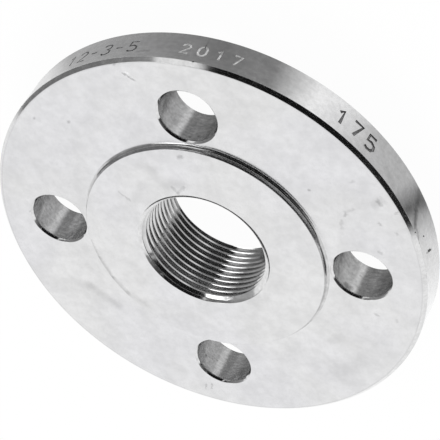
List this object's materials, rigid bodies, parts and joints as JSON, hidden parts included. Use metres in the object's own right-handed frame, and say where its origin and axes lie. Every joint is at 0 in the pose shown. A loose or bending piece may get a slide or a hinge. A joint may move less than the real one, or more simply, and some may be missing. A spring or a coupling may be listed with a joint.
{
  "type": "threaded flange",
  "caption": "Round pipe flange with a raised sealing face, a short hub, a right-hand parallel pipe thread in its bore and bolt holes on a circle.",
  "frame": {"origin": "centre of the hub's end face, on the surface that the flange stands on", "axes": "+Z along the bore axis, out of the raised face; +X through one bolt hole"},
  "size_m": [0.14, 0.14, 0.026],
  "materials": {
    "stainless_steel": "smooth turned stainless steel with a matt sheen and light handling marks"
  },
  "bodies": {
    "root": {"flange": "stainless_steel"}
  },
  "joints": []
}
